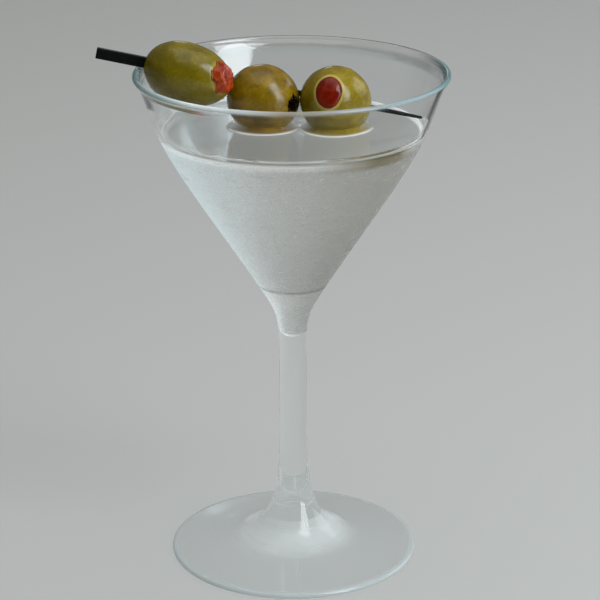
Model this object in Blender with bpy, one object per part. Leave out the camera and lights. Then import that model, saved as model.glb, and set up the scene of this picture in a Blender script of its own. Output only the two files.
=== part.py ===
"""A martini in its stemmed glass, with three green olives on a black pick.

Metres, +Z up. The glass stands on z = 0 with its axis on the Z axis, and is turned from one
outline. The drink fills the bowl up to its level and is cut round the olives that dip into
it. The pick lies over the left rim (-X) and its tip is by the right wall (+X), just above the
drink.
"""
import math

import bmesh
import bpy
from mathutils import Matrix, Vector

# Clearance between neighbouring pieces
GAP = 0.0003
# Points closer than this on the axis become one
WELD_DISTANCE = 1e-7

# Glass: heights above the table, radii from the axis
GLASS_HEIGHT = 0.167
RIM_RADIUS = 0.051
BEAD_RADIUS = 0.00105
FOOT_RADIUS = 0.0415
FOOT_EDGE_RADIUS = 0.00095
STEM_RADIUS = 0.0045
WELL_RADIUS = 0.0030
WELL_BOTTOM = 0.0773
GLASS_SEGMENTS = 52
BEAD_STEPS = 8
# The bead's round part runs between these angles, and the foot's edge up to this one, in degrees
BEAD_ANGLES = (-55, 210)
FOOT_EDGE_ANGLES = (-90, 80)
EDGE_STEPS = 4
WELL_STEPS = 4
OUTSIDE_STEPS = 2
INSIDE_STEPS = 1

# Outside of the glass, from the foot's edge to the neck under the rim: (radius, height)
FOOT_AND_STEM = (
    (0.0300, 0.0031),
    (0.0200, 0.0049),
    (0.0140, 0.0082),
    (0.0100, 0.0123),
    (0.0073, 0.0175),
    (0.0056, 0.0250),
    (0.0049, 0.0350),
    (STEM_RADIUS + 0.0001, 0.0570),
    (STEM_RADIUS, 0.0755),
)
BOWL_OUTSIDE = (
    (0.0051, 0.0822),
    (0.0068, 0.0873),
    (0.0125, 0.0970),
    (0.0282, 0.1213),
    (0.0357, 0.1332),
    (0.0414, 0.1432),
    (0.0449, 0.1512),
    (0.0475, 0.1592),
    (0.0491, 0.1634),
)
# Inside of the bowl, from the neck down to the narrow well over the stem
BOWL_INSIDE = (
    (0.0478, 0.1634),
    (0.0461, 0.1592),
    (0.0435, 0.1512),
    (0.0399, 0.1432),
    (0.0341, 0.1332),
    (0.0264, 0.1213),
    (0.0105, 0.0970),
    (0.0076, 0.0928),
    (0.0048, 0.0884),
    (0.0036, 0.0845),
)

# Drink
DRINK_LEVEL = 0.1475

# Pick: from the end of its flat handle to its tip, and its sections along that line
PICK_HANDLE_END = Vector((-0.0626, 0.0050, 0.17205))
PICK_TIP = Vector((0.0422, 0.0050, 0.1501))
HANDLE_WIDTH = 0.0035
HANDLE_THICKNESS = 0.0017
STICK_WIDTH = 0.0019
TIP_WIDTH = 0.0008
# (share of the pick's length, width, thickness)
PICK_SECTIONS = (
    (0.00, HANDLE_WIDTH, HANDLE_THICKNESS),
    (0.19, HANDLE_WIDTH, HANDLE_THICKNESS),
    (0.24, STICK_WIDTH, HANDLE_THICKNESS),
    (0.80, STICK_WIDTH * 0.85, HANDLE_THICKNESS * 0.85),
    (0.94, STICK_WIDTH * 0.60, HANDLE_THICKNESS * 0.60),
    (1.00, TIP_WIDTH, TIP_WIDTH),
)
PICK_EDGE = 0.0002

# Olives: centre, the way the long axis points, length, width, how much fatter the far end is,
# and where the slight waves of the skin start
OLIVE_SEGMENTS = 32
OLIVE_RINGS = 18
OLIVES = {
    "olive_1": {
        "centre": Vector((-0.0333, 0.0026, 0.1654)),
        "axis": Vector((0.90, -0.40, -0.17)),
        "length": 0.0302,
        "width": 0.0206,
        "taper": 0.05,
        "waves_from": 0.6,
    },
    "olive_2": {
        "centre": Vector((-0.0092, 0.0043, 0.1568)),
        "axis": Vector((0.88, -0.47, -0.08)),
        "length": 0.0236,
        "width": 0.0222,
        "taper": 0.03,
        "waves_from": 2.2,
    },
    "olive_3": {
        "centre": Vector((0.0140, 0.0026, 0.1564)),
        "axis": Vector((-0.18, -0.865, 0.475)),
        "length": 0.0262,
        "width": 0.0225,
        "taper": 0.04,
        "waves_from": 4.1,
    },
}
# How far an olive's skin strays from an even shape
UNEVENNESS = 0.008

# Pits in the olives: the way they face from the olive's centre, half width, half height, depth
PITS = {
    "olive_1": {"facing": Vector((0.82, -0.58, 0.03)), "half": (0.0048, 0.0050), "depth": 0.0044},
    "olive_2": {"facing": Vector((0.84, -0.54, -0.06)), "half": (0.0027, 0.0030), "depth": 0.0050},
    "olive_3": {"facing": Vector((-0.19, -0.86, 0.46)), "half": (0.0044, 0.0054), "depth": 0.0060},
}
PIT_SEGMENTS = 18
PIT_RINGS = 10
# Stuffing: how far its face stands out of the olive's skin, or lies below it
STUFFING = {"pimento_1": ("olive_1", 0.0016), "pimento_3": ("olive_3", -0.0012)}
STUFFING_RIPPLE = 0.06
STUFFING_CLEARANCE = 0.0008
# Steps of the search for the skin's distance from an olive's centre
HALVINGS = 30

# Edges sharper than this are shaded sharp, in degrees
SHARP_ANGLE = 40
SKIN_SHARP_ANGLE = 60

COLOURS = {
    "glass": (0.93, 0.97, 0.96),
    "drink": (0.86, 0.88, 0.86),
    "olive": (0.19, 0.16, 0.025),
    "pimento": (0.55, 0.06, 0.02),
    "pick": (0.008, 0.008, 0.010),
}


def clear_scene():
    """Remove every object that the scene starts with."""
    for item in list(bpy.data.objects):
        bpy.data.objects.remove(item, do_unlink=True)


def material(name, roughness, transmission=0.0):
    """A plain Principled material in one of the named colours."""
    made = bpy.data.materials.new(name)
    made.use_nodes = True
    shader = made.node_tree.nodes["Principled BSDF"]
    shader.inputs["Base Color"].default_value = (*COLOURS[name], 1.0)
    shader.inputs["Roughness"].default_value = roughness
    shader.inputs["Metallic"].default_value = 0.0
    shader.inputs["Transmission Weight"].default_value = transmission
    return made


def new_object(name, bm, finish=None, angle=SHARP_ANGLE):
    """Put a bmesh into the scene as a smooth shaded object."""
    bmesh.ops.recalc_face_normals(bm, faces=bm.faces)
    mesh = bpy.data.meshes.new(name)
    bm.to_mesh(mesh)
    bm.free()
    mesh.shade_smooth()
    mesh.set_sharp_from_angle(angle=math.radians(angle))
    made = bpy.data.objects.new(name, mesh)
    bpy.context.collection.objects.link(made)
    if finish is not None:
        mesh.materials.append(finish)
    return made


def cutter(name, bm):
    """An object that only cuts others."""
    made = new_object(name, bm)
    made.hide_render = True
    made.display_type = "WIRE"
    return made


def cut(target, tool):
    """Take the tool's shape out of the target."""
    step = target.modifiers.new("cut " + tool.name, "BOOLEAN")
    step.operation = "DIFFERENCE"
    step.solver = "EXACT"
    step.object = tool


def smooth_curve(points, steps):
    """Points along a centripetal Catmull-Rom curve through the given (radius, height) points."""
    knots = [Vector(point) for point in points]
    knots.insert(0, 2 * knots[0] - knots[1])
    knots.append(2 * knots[-1] - knots[-2])
    curve = [knots[1]]
    for before, start, end, after in zip(knots, knots[1:], knots[2:], knots[3:]):
        t1 = math.sqrt((start - before).length)
        t2 = t1 + math.sqrt((end - start).length)
        t3 = t2 + math.sqrt((after - end).length)
        for step in range(1, steps + 1):
            t = t1 + (t2 - t1) * step / steps
            a1 = before * ((t1 - t) / t1) + start * (t / t1)
            a2 = start * ((t2 - t) / (t2 - t1)) + end * ((t - t1) / (t2 - t1))
            a3 = end * ((t3 - t) / (t3 - t2)) + after * ((t - t2) / (t3 - t2))
            b1 = a1 * ((t2 - t) / t2) + a2 * (t / t2)
            b2 = a2 * ((t3 - t) / (t3 - t1)) + a3 * ((t - t1) / (t3 - t1))
            curve.append(b1 * ((t2 - t) / (t2 - t1)) + b2 * ((t - t1) / (t2 - t1)))
    return curve


def arc(centre, radius, start, end, steps):
    """Points on an arc, with angles in degrees, 0 pointing away from the axis."""
    points = []
    for step in range(steps + 1):
        angle = math.radians(start + (end - start) * step / steps)
        points.append(Vector((centre[0] + radius * math.cos(angle), centre[1] + radius * math.sin(angle))))
    return points


def inside_outline():
    """The inside of the bowl from its neck down to the bottom of the well, on the axis."""
    well_centre = (0.0, WELL_BOTTOM + WELL_RADIUS)
    curve = smooth_curve([*BOWL_INSIDE, (WELL_RADIUS, well_centre[1])], INSIDE_STEPS)
    return curve + arc(well_centre, WELL_RADIUS, 0, -90, WELL_STEPS)[1:]


def glass_outline():
    """The whole outline of the glass, from under the foot round the rim to the well."""
    edge_centre = (FOOT_RADIUS - FOOT_EDGE_RADIUS, FOOT_EDGE_RADIUS)
    edge = arc(edge_centre, FOOT_EDGE_RADIUS, *FOOT_EDGE_ANGLES, EDGE_STEPS)
    outside = smooth_curve([edge[-1], *FOOT_AND_STEM, *BOWL_OUTSIDE], OUTSIDE_STEPS)
    bead_centre = (RIM_RADIUS - BEAD_RADIUS, GLASS_HEIGHT - BEAD_RADIUS)
    bead = arc(bead_centre, BEAD_RADIUS, *BEAD_ANGLES, BEAD_STEPS)
    return [Vector((0.0, 0.0))] + edge + outside[1:] + bead + inside_outline()


def turn(outline, segments):
    """A bmesh turned once round the Z axis from an outline whose ends lie on that axis."""
    bm = bmesh.new()
    verts = [bm.verts.new((max(radius, 0.0), 0.0, height)) for radius, height in outline]
    edges = [bm.edges.new(pair) for pair in zip(verts, verts[1:])]
    bmesh.ops.spin(bm, geom=verts + edges, cent=(0, 0, 0), axis=(0, 0, 1),
                   angle=math.tau, steps=segments, use_merge=True)
    bmesh.ops.remove_doubles(bm, verts=bm.verts, dist=WELD_DISTANCE)
    return bm


def inset_outline(outline, distance):
    """The outline moved towards the axis by a distance along its own normals."""
    moved = []
    for index, point in enumerate(outline):
        before = outline[max(index - 1, 0)]
        after = outline[min(index + 1, len(outline) - 1)]
        run = (after - before).normalized()
        moved.append(point + Vector((run.y, -run.x)) * distance)
    moved[-1].x = 0.0
    return moved


def radius_at(outline, height):
    """Where a falling outline crosses a height."""
    for upper, lower in zip(outline, outline[1:]):
        if lower.y <= height <= upper.y:
            share = (upper.y - height) / (upper.y - lower.y)
            return upper.x + (lower.x - upper.x) * share
    return 0.0


def make_glass(finish):
    """Foot, stem, bowl and beaded rim, turned as one piece."""
    return new_object("glass", turn(glass_outline(), GLASS_SEGMENTS), finish)


def make_drink(finish):
    """The drink, a gap clear of the bowl, with a flat top at its level."""
    wall = inset_outline(inside_outline(), GAP)
    wall[-1].y = WELL_BOTTOM + GAP
    below = [point for point in wall if point.y < DRINK_LEVEL - GAP]
    edge = Vector((radius_at(wall, DRINK_LEVEL), DRINK_LEVEL))
    return new_object("drink", turn([Vector((0.0, DRINK_LEVEL)), edge, *below], GLASS_SEGMENTS), finish)


def facing_matrix(place, facing):
    """Stand a shape's Z axis along a direction, its Y axis as upright as it can be."""
    forward = facing.normalized()
    side = Vector((0, 0, 1)).cross(forward).normalized()
    upward = forward.cross(side)
    turned = Matrix((side, upward, forward)).transposed().to_4x4()
    return Matrix.Translation(place) @ turned


def olive_skin(direction, spec, grow=0.0):
    """A point of an olive's skin in its own frame, where a unit direction leads."""
    x, y, z = direction
    start = spec["waves_from"]
    waves = math.sin(3 * x + 2 * y + start) + math.sin(4 * z - 3 * y + 2 * start)
    swell = 1 + UNEVENNESS * waves * (1 - z * z)
    around = (spec["width"] / 2) * (1 - spec["taper"] * z) * swell + grow
    return Vector((x * around, y * around, z * (spec["length"] / 2 + grow)))


def olive_body(spec, grow=0.0):
    """A bmesh of an olive without its pit, in its own frame."""
    bm = bmesh.new()
    bmesh.ops.create_uvsphere(bm, u_segments=OLIVE_SEGMENTS, v_segments=OLIVE_RINGS, radius=1.0)
    for vert in bm.verts:
        vert.co = olive_skin(vert.co.normalized(), spec, grow)
    return bm


def pit_mouth(name):
    """The point of an olive's skin in the middle of its pit, in world coordinates."""
    spec = OLIVES[name]
    placed = facing_matrix(spec["centre"], spec["axis"])
    local = placed.to_3x3().inverted() @ PITS[name]["facing"].normalized()
    low, high = 0.0, 1.0
    reach = spec["length"]
    for _ in range(HALVINGS):
        middle = (low + high) / 2
        probe = local * reach * middle
        around = (spec["width"] / 2) * (1 - spec["taper"] * probe.z / (spec["length"] / 2))
        inside = (probe.x / around) ** 2 + (probe.y / around) ** 2 + (probe.z * 2 / spec["length"]) ** 2 < 1
        low, high = (middle, high) if inside else (low, middle)
    return placed @ (local * reach * low)


def rounded_plug(half, inner, outer, ripple=0.0):
    """A bmesh of a rounded plug: its inner end reaches down -Z, its outer end up +Z."""
    bm = bmesh.new()
    bmesh.ops.create_uvsphere(bm, u_segments=PIT_SEGMENTS, v_segments=PIT_RINGS, radius=1.0)
    for vert in bm.verts:
        x, y, z = vert.co.normalized()
        angle = math.atan2(y, x)
        swell = 1 + ripple * (math.sin(3 * angle + 1) + 0.6 * math.sin(5 * angle)) / 1.6
        depth = outer if z > 0 else inner
        lobes = 1 + ripple * math.sin(4 * x + 3 * y) if z > 0 else 1
        vert.co = Vector((x * half[0] * swell, y * half[1] * swell, z * depth * lobes))
    return bm


def make_pit(name):
    """The cutter of one olive's pit, standing well out of its skin."""
    pit = PITS[name]
    tool = cutter("cut_pit_" + name, rounded_plug(pit["half"], pit["depth"], pit["depth"]))
    tool.matrix_world = facing_matrix(pit_mouth(name), pit["facing"])
    return tool


def make_olive(name, finish, bore):
    """One olive with its pit and the bore that the pick goes through."""
    spec = OLIVES[name]
    olive = new_object(name, olive_body(spec), finish, angle=SKIN_SHARP_ANGLE)
    olive.matrix_world = facing_matrix(spec["centre"], spec["axis"])
    cut(olive, make_pit(name))
    cut(olive, bore)
    return olive


def make_stuffing(name, finish):
    """The stuffing in one olive's pit, a gap clear of the pit's wall."""
    olive, proud = STUFFING[name]
    pit = PITS[olive]
    sunk = min(proud, 0.0)
    half = [size - STUFFING_CLEARANCE for size in pit["half"]]
    inner = pit["depth"] - STUFFING_CLEARANCE + sunk
    shape = rounded_plug(half, inner, max(proud, GAP), STUFFING_RIPPLE)
    plug = new_object(name, shape, finish, angle=SKIN_SHARP_ANGLE)
    facing = pit["facing"].normalized()
    plug.matrix_world = facing_matrix(pit_mouth(olive) + facing * sunk, facing)
    return plug


def pick_body(grow=0.0, reach=0.0):
    """A bmesh of the pick along its own X axis, or of a fatter and longer one for its bore."""
    length = (PICK_TIP - PICK_HANDLE_END).length
    bm = bmesh.new()
    loops = []
    for share, width, thickness in PICK_SECTIONS:
        along = share * length + reach * (2 * share - 1)
        side = thickness / 2 + grow
        high = width / 2 + grow
        corners = ((-side, -high), (side, -high), (side, high), (-side, high))
        loops.append([bm.verts.new((along, y, z)) for y, z in corners])
    for near, far in zip(loops, loops[1:]):
        for index in range(4):
            following = (index + 1) % 4
            bm.faces.new((near[index], near[following], far[following], far[index]))
    bm.faces.new(loops[0])
    bm.faces.new(loops[-1])
    return bm


def pick_matrix():
    """Lay the pick's X axis along its line, its flat faces upright."""
    along = (PICK_TIP - PICK_HANDLE_END).normalized()
    side = Vector((0, 0, 1)).cross(along).normalized()
    upward = along.cross(side)
    turned = Matrix((along, side, upward)).transposed().to_4x4()
    return Matrix.Translation(PICK_HANDLE_END) @ turned


def make_pick(finish):
    """The flat black pick with its softened edges."""
    pick = new_object("pick", pick_body(), finish)
    pick.matrix_world = pick_matrix()
    bevel = pick.modifiers.new("softened edges", "BEVEL")
    bevel.width = PICK_EDGE
    bevel.segments = 1
    bevel.limit_method = "ANGLE"
    bevel.angle_limit = math.radians(SHARP_ANGLE)
    return pick


def make_bore():
    """The cutter for the pick's way through the olives."""
    tool = cutter("cut_bore", pick_body(grow=GAP, reach=GAP))
    tool.matrix_world = pick_matrix()
    return tool


def make_dip(name):
    """The cutter that keeps the drink clear of one olive."""
    spec = OLIVES[name]
    tool = cutter("cut_dip_" + name, olive_body(spec, grow=GAP))
    tool.matrix_world = facing_matrix(spec["centre"], spec["axis"])
    return tool


def build():
    """Make every piece of the drink."""
    clear_scene()
    glass = material("glass", 0.02, transmission=1.0)
    liquid = material("drink", 0.05, transmission=1.0)
    flesh = material("olive", 0.35)
    red = material("pimento", 0.30)
    black = material("pick", 0.35)
    make_glass(glass)
    drink = make_drink(liquid)
    make_pick(black)
    bore = make_bore()
    for name in OLIVES:
        make_olive(name, flesh, bore)
    for name in STUFFING:
        make_stuffing(name, red)
    for name in ("olive_2", "olive_3"):
        cut(drink, make_dip(name))


build()
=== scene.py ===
"""Looks of a martini: its glass, drink, olives, stuffing and pick, with floor, light and camera.

Metres, +Z up, the glass on z = 0 with its axis on the Z axis, seen along +Y. Each piece keeps
the form of the solid that it stands for and adds what a close look shows.
"""
import math
import random

import bmesh
import bpy
from mathutils import Matrix, Vector, noise


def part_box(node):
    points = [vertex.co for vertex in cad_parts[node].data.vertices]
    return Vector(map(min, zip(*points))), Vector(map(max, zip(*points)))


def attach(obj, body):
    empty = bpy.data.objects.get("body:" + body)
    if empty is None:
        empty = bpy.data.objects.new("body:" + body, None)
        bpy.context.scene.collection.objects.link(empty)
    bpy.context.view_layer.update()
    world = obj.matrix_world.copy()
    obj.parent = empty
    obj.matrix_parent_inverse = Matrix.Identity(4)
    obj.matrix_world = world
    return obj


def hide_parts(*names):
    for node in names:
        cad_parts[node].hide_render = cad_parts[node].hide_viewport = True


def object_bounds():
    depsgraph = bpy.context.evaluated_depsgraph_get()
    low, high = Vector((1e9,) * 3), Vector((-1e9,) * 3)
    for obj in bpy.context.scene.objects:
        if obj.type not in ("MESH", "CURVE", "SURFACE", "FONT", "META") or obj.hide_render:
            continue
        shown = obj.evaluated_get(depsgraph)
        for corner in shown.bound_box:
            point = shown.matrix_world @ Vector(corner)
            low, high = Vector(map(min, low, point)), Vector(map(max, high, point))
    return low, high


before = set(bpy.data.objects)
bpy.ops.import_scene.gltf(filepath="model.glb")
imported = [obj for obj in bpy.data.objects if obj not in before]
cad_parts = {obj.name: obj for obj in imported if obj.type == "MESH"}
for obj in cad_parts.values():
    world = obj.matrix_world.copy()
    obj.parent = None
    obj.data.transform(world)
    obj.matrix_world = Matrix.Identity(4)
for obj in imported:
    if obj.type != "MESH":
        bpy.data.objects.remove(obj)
CAD_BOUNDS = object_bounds()
ROOT = "root"

# Glass: heights above the bottom of the foot, radii from the axis
GLASS_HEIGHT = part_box("glass")[1].z
RIM_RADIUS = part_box("glass")[1].y
BEAD_RADIUS = 0.00093
BEAD_BOTTOM = GLASS_HEIGHT - 2 * BEAD_RADIUS
FOOT_RADIUS = 0.0415
FOOT_EDGE_RADIUS = 0.00095
FOOT_EDGE_START = 0.0396
FOOT_FLARE_TOP = 0.0130
STEM_RADIUS = 0.0045
WELL_RADIUS = 0.0030
WELL_BOTTOM = 0.0773
RIM_NECK = 0.1618
WALL_OVER_DRINK = 0.1489
GLASS_SEGMENTS = 192
BEAD_ANGLES = (-55, 210)
BEAD_STEPS = 22
FOOT_EDGE_ANGLES = (-90, 80)
FOOT_EDGE_STEPS = 12
WELL_STEPS = 12
CURVE_STEPS = 11
# Faces of the underside: how high at most, and how far turned down
UNDERSIDE_TOP = 0.0008
UNDERSIDE_TILT = -0.5
# Underside of the foot, which stands on a ring and is a little hollow inside it: (radius, height)
FOOT_RING_RADIUS = 0.0386
FOOT_HOLLOW_RADIUS = 0.0340
FOOT_HOLLOW = 0.0005
UNDERSIDE = (
    (0.0040, FOOT_HOLLOW),
    (0.0180, FOOT_HOLLOW),
    (FOOT_HOLLOW_RADIUS - 0.0040, FOOT_HOLLOW * 0.9),
    (FOOT_HOLLOW_RADIUS, FOOT_HOLLOW * 0.45),
    (FOOT_RING_RADIUS - 0.0010, 0.00003),
    (FOOT_RING_RADIUS, 0.0),
)
# Outside of the glass, from the foot's edge to the neck under the rim: (radius, height)
FOOT_AND_STEM = (
    (0.0300, 0.0031),
    (0.0200, 0.0049),
    (0.0140, 0.0082),
    (0.0100, 0.0123),
    (0.0073, 0.0175),
    (0.0056, 0.0250),
    (0.0049, 0.0350),
    (STEM_RADIUS + 0.0001, 0.0570),
    (STEM_RADIUS, 0.0755),
)
BOWL_OUTSIDE = (
    (0.0051, 0.0822),
    (0.0068, 0.0873),
    (0.0125, 0.0970),
    (0.0282, 0.1213),
    (0.0357, 0.1332),
    (0.0414, 0.1432),
    (0.0449, 0.1512),
    (0.0475, 0.1592),
    (0.0491, 0.1634),
)
# Inside of the bowl, from the neck down to the narrow well over the stem
BOWL_INSIDE = (
    (0.0478, 0.1634),
    (0.0461, 0.1592),
    (0.0435, 0.1512),
    (0.0399, 0.1432),
    (0.0341, 0.1332),
    (0.0264, 0.1213),
    (0.0105, 0.0970),
    (0.0076, 0.0928),
    (0.0048, 0.0884),
    (0.0036, 0.0845),
)

# Drink: its level, how far it reaches into the wall, and how it climbs the wall and the olives
DRINK_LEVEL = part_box("drink")[1].z
INTO_WALL = 0.00015
WALL_CLIMB = 0.0008
WALL_CLIMB_REACH = 0.0011
OLIVE_CLIMB = 0.0020
OLIVE_CLIMB_REACH = 0.0009
OLIVE_CONTACT = 0.0014
JOINT_CLIMB_LIMIT = 1.15
SURFACE_RINGS = 150
RINGS_CROWD_OUTWARD = 1.35
# Painted highlight lines where the surface starts to climb: how far from an olive, and how wide
CLIMB_HIGHLIGHT_AWAY = 0.0034
CLIMB_HIGHLIGHT_WIDTH = 0.00045
WALL_HIGHLIGHT_WIDTH = 0.0006
# The painted highlights and reflections on the surface fade out behind the olives, and the painted
# reflection of the olives at its edge
FRONT_FADE = 0.004
PAINTED_REFLECTION_FADE = 0.0006
# How far under the level a point still counts as one of the surface
SURFACE_MARGIN = 0.0001
# Height where the cone narrows into the well, where a ring of painted shade lies in the clouded drink
SHADE_RING_HEIGHT = 0.0957
SHADE_RING_WIDTH = 0.0008

# Mist on the outside of the bowl
MIST_TOP = DRINK_LEVEL - 0.0002
MIST_BOTTOM = 0.0790
MIST_CLEAR = 0.00004
MIST_THICKNESS = 0.00004
MIST_RINGS = 70
SLOPE_STEP = 0.0004
# Drops on the mist: how many, how far below the level they reach and crowd, and their form
DROP_COUNT = 420
DROP_REACH = 0.034
DROP_CROWDING = 2.2
DROP_TOP = MIST_TOP - 0.0006
DROP_SIZES = (0.00022, 0.00052)
DROP_STRETCH = (1.0, 1.5)
DROP_FLATNESS = 0.5
DROP_SEED = 5

# Olives: centre, the way the long axis points, length, width, how much fatter the far end is,
# where the slight waves of the skin start, and how much fuller the fine skin is
OLIVES = {
    "olive_1": {
        "centre": Vector((-0.0333, 0.0026, 0.1654)),
        "axis": Vector((0.90, -0.40, -0.17)),
        "length": 0.0302,
        "width": 0.0206,
        "taper": 0.05,
        "waves_from": 0.6,
        "fuller": -0.00010,
    },
    "olive_2": {
        "centre": Vector((-0.0092, 0.0043, 0.1568)),
        "axis": Vector((0.88, -0.47, -0.08)),
        "length": 0.0236,
        "width": 0.0222,
        "taper": 0.03,
        "waves_from": 2.2,
        "fuller": 0.00014,
    },
    "olive_3": {
        "centre": Vector((0.0140, 0.0026, 0.1564)),
        "axis": Vector((-0.18, -0.865, 0.475)),
        "length": 0.0262,
        "width": 0.0225,
        "taper": 0.04,
        "waves_from": 4.1,
        "fuller": 0.00014,
    },
}
UNEVENNESS = 0.008
SKIN_ROUNDS = 4
# Waves of the skin: how many for each metre, and how high
BROAD_WAVES = (260, 0.00013)
FINE_WAVES = (900, 0.000022)
# Pits: the way they face, half width and half height, depth, and how ragged the cut is
PITS = {
    "olive_1": {
        "facing": Vector((0.85, -0.53, 0.03)),
        "half": (0.0043, 0.0050),
        "depth": 0.0044,
        "ragged": 0.11,
    },
    "olive_2": {
        "facing": Vector((0.84, -0.54, -0.06)),
        "half": (0.0027, 0.0030),
        "depth": 0.0050,
        "ragged": 0.34,
    },
    "olive_3": {
        "facing": Vector((-0.19, -0.86, 0.46)),
        "half": (0.0044, 0.0054),
        "depth": 0.0060,
        "ragged": 0.012,
    },
}
# Lobes round a pit's mouth: how many, how strong and where they start, and their usual sum
MOUTH_LOBES = ((5, 1.0, 0.6), (8, 0.45, 2.0), (13, 0.3, 0.0))
MOUTH_LOBES_SUM = 1.4
OLIVE_SEGMENTS = 160
SKIN_RINGS = 84
RINGS_CROWD_TO_LIP = 1.25
LIP = 0.00035
TINY_LENGTH = 1e-9
TINY_ANGLE = 1e-6
PIT_RINGS = 16
PIT_ROUNDNESS = 0.55
PIT_FLATNESS = 2.2
# Cut flesh: down to this share of the pit's depth and out to this share of its half width
FLESH_DEPTH = 1.1
FLESH_EDGE = 1.16
FLESH_FADE = 0.12

# Stuffing: its olive, how far it stands out in the middle and is tucked in at the edge, its
# width beside the pit's, and how deep, how fine and where from its folds are
STUFFING = {
    "pimento_1": {
        "olive": "olive_1",
        "proud": 0.0015,
        "tucked": 0.0003,
        "wide": 1.0,
        "wrinkle": 0.00055,
        "scale": 400,
        "seed": 3.0,
    },
    "pimento_3": {
        "olive": "olive_3",
        "proud": 0.0002,
        "tucked": 0.0007,
        "wide": 0.99,
        "wrinkle": 0.00016,
        "scale": 210,
        "seed": 9.0,
    },
}
STUFFING_SEGMENTS = 120
STUFFING_RINGS = 60
STUFFING_DEPTH = 0.9
STUFFING_FULLNESS = 0.8
FOLD_SHARPNESS = 2.6
FOLD_MIDDLE = 0.4
# How fast the folds fade out to the edge, and how deep they are there
FOLD_FADE = 2.5
FOLD_AT_EDGE = 0.1

# How light is bent, and the colours of clear matter and of light that passes it
GLASS_IOR = 1.50
DRINK_IOR = 1.345
WATER_IOR = 1.33
NO_BEND_IOR = 1.01
GLASS_COLOUR = (0.975, 0.99, 0.985)
GLASS_SHADE = (0.96, 0.97, 0.97)
RIM_COLOUR = (0.93, 0.985, 0.985)
UNDERSIDE_COLOUR = (0.975, 0.985, 0.985)
DRINK_COLOUR = (0.985, 0.985, 0.98)
DROP_COLOUR = (0.98, 0.99, 0.99)
WATER_SHADE = (0.98, 0.98, 0.98)
CLOUD_SHADE = (0.97, 0.97, 0.97)

# Where the glass doesn't bend the view, each zone from its outer to its inner border: at the
# rim in the middle and behind, and lower down in front of the olives and the pick's tip
RIM_CALM_LEFT = (-0.027, -0.019)
RIM_CALM_RIGHT = (0.027, 0.020)
RIM_CALM_BEHIND = (RIM_RADIUS * 0.06, RIM_RADIUS * 0.34)
RIM_CALM_BELOW = (RIM_NECK + 0.0002, BEAD_BOTTOM - 0.0004)
WALL_CALM_LEFT = (-0.034, -0.018)
WALL_CALM_RIGHT = (0.0418, 0.0388)
WALL_CALM_FRONT = (-0.002, -0.005)
WALL_CALM_BELOW = (WALL_OVER_DRINK, WALL_OVER_DRINK + 0.0008)
WALL_LEAN = 0.44
# Rim: where its glass starts, and how it mirrors in front and behind where it doesn't bend
RIM_START = (RIM_NECK - 0.0003, RIM_NECK + 0.0001)
RIM_SHINE = (-RIM_RADIUS * 0.2, RIM_RADIUS * 0.2, 0.015, 0.07)
# Its bead's painted highlights and reflections: how strong by the way it faces, its borders, and its
# tones from left to right
BEAD_PAINTED_LIGHT = (-0.45, 0.15, 0.12, 0.78)
BEAD_BELOW = (BEAD_BOTTOM - 0.0003, BEAD_BOTTOM + 0.0001)
BEAD_BEHIND = (RIM_RADIUS * 0.50, RIM_RADIUS * 0.20)
BEAD_PAINTED_LIGHT_TONES = (
    (0.0, (0.12, 0.21, 0.21)),
    (0.10, (0.50, 0.66, 0.66)),
    (0.20, (0.94, 1.0, 1.0)),
    (0.36, (0.62, 0.66, 0.66)),
    (0.48, (0.33, 0.29, 0.22)),
    (0.69, (0.30, 0.31, 0.31)),
    (0.84, (0.28, 0.36, 0.38)),
    (1.0, (0.13, 0.23, 0.24)),
)
# Its painted shade line behind: how strong by the way it faces, its border and colour
BACK_SHADE_LINE_EDGE = (0.35, 0.70, 0.0, 0.95)
BACK_SHADE_LINE_TOP = (0.25, 0.55)
BACK_SHADE_LINE_BORDER = (RIM_RADIUS * 0.24, RIM_RADIUS * 0.64)
BACK_SHADE_LINE_COLOUR = (0.07, 0.07, 0.07)
# Foot: how strong its painted highlight is from its middle to its edge, and its colour
FOOT_PAINTED_HIGHLIGHT = ((0.20, 0.10), (0.30, 0.34), (0.38, 0.30), (0.52, 0.04), (0.70, 0.02))
FOOT_HIGHLIGHT_COLOUR = (0.90, 0.93, 0.95)
# Its edge: the colour of its painted sheen, and how much of the edge the sheen covers
FOOT_EDGE_SHEEN_COLOUR = (0.46, 0.50, 0.51)
FOOT_EDGE_SHEEN_SHARE = 0.55

# Drink: the painted reflection of the olives on its surface, where one ends and the other starts, and
# its painted highlight lines
PAINTED_REFLECTION_BROWN = (0.185, 0.095, 0.001)
PAINTED_REFLECTION_GREEN = (0.230, 0.160, 0.004)
PAINTED_REFLECTION_BREAKS = ((0.45, 1.0), (0.66, (1.3, 1.4, 1.9)))
PAINTED_REFLECTION_BORDER = (0.0020, 0.0045)
PAINTED_REFLECTION_SHARE = 0.93
CLIMB_HIGHLIGHT_COLOUR = (0.98, 0.98, 0.97)
CLIMB_HIGHLIGHT_SHARE = 0.9
# The clouded side of the drink from its well up to its level: its tones with painted light, and how
# dense it is
DRINK_HEIGHT = DRINK_LEVEL - WELL_BOTTOM
SHADE_RING_PLACE = (SHADE_RING_HEIGHT - WELL_BOTTOM) / DRINK_HEIGHT
SHADE_RING_HALF = SHADE_RING_WIDTH / DRINK_HEIGHT
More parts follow.
